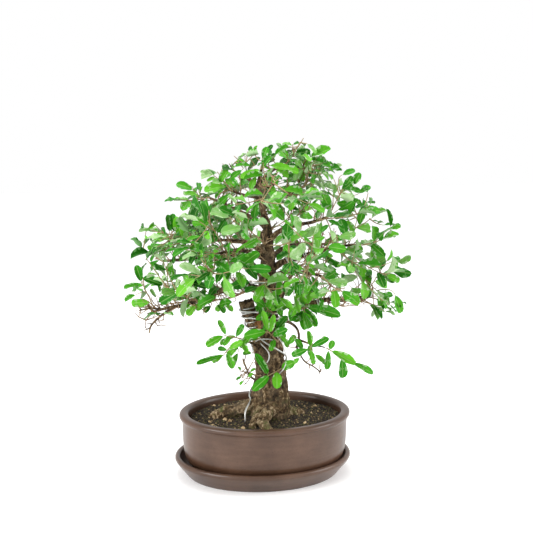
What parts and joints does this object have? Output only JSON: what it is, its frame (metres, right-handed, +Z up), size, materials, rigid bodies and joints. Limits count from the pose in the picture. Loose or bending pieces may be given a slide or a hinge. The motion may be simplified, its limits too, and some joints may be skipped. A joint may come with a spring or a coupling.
{
  "type": "thorny olive bonsai",
  "caption": "Small trained evergreen tree with a thick tapering trunk, thorny spreading branches and a domed leafy crown, in an oval stoneware pot on its saucer.",
  "frame": {"origin": "on the pot's axis, at the level of the saucer's flat underside", "axes": "+Z up, +X along the pot's long axis, -Y towards the tree's front"},
  "size_m": [0.3916, 0.3014, 0.4869],
  "materials": {
    "stoneware": "satin",
    "netting": "matte",
    "soil": "matte",
    "bark": "matte",
    "wire": "satin",
    "foliage": "satin"
  },
  "bodies": {
    "root": {"saucer": "stoneware", "pot": "stoneware", "soil": "soil", "tree_wood": "bark", "drainage_net_left": "netting", "drainage_net_right": "netting", "training_wire_trunk": "wire", "training_wire_left": "wire", "training_wire_right": "wire", "guy_wire_right": "wire", "shoot_low": "foliage", "shoot_middle": "foliage", "shoot_upper": "foliage", "shoot_right": "foliage", "shoot_low_left": "foliage", "shoot_left": "foliage", "shoot_low_right": "foliage", "shoot_right_out": "foliage", "crown_spray_1": "foliage", "crown_spray_2": "foliage", "crown_spray_3": "foliage", "crown_spray_4": "foliage", "crown_spray_5": "foliage", "crown_spray_6": "foliage", "crown_spray_7": "foliage", "crown_spray_8": "foliage", "crown_spray_9": "foliage", "crown_spray_10": "foliage", "crown_spray_11": "foliage", "crown_spray_12": "foliage", "crown_spray_13": "foliage", "crown_spray_14": "foliage", "crown_spray_15": "foliage", "crown_spray_16": "foliage", "crown_spray_17": "foliage", "crown_spray_18": "foliage", "crown_spray_19": "foliage", "crown_spray_20": "foliage", "crown_spray_21": "foliage", "crown_spray_22": "foliage", "crown_spray_23": "foliage", "crown_spray_24": "foliage", "crown_spray_25": "foliage", "crown_spray_26": "foliage", "crown_spray_27": "foliage", "crown_spray_28": "foliage", "crown_spray_29": "foliage", "crown_spray_30": "foliage", "crown_spray_31": "foliage", "crown_spray_32": "foliage", "crown_spray_33": "foliage", "crown_spray_34": "foliage", "crown_spray_35": "foliage", "crown_spray_36": "foliage", "crown_spray_37": "foliage", "crown_spray_38": "foliage", "crown_spray_39": "foliage", "crown_spray_40": "foliage", "crown_spray_41": "foliage", "crown_spray_42": "foliage"}
  },
  "joints": []
}
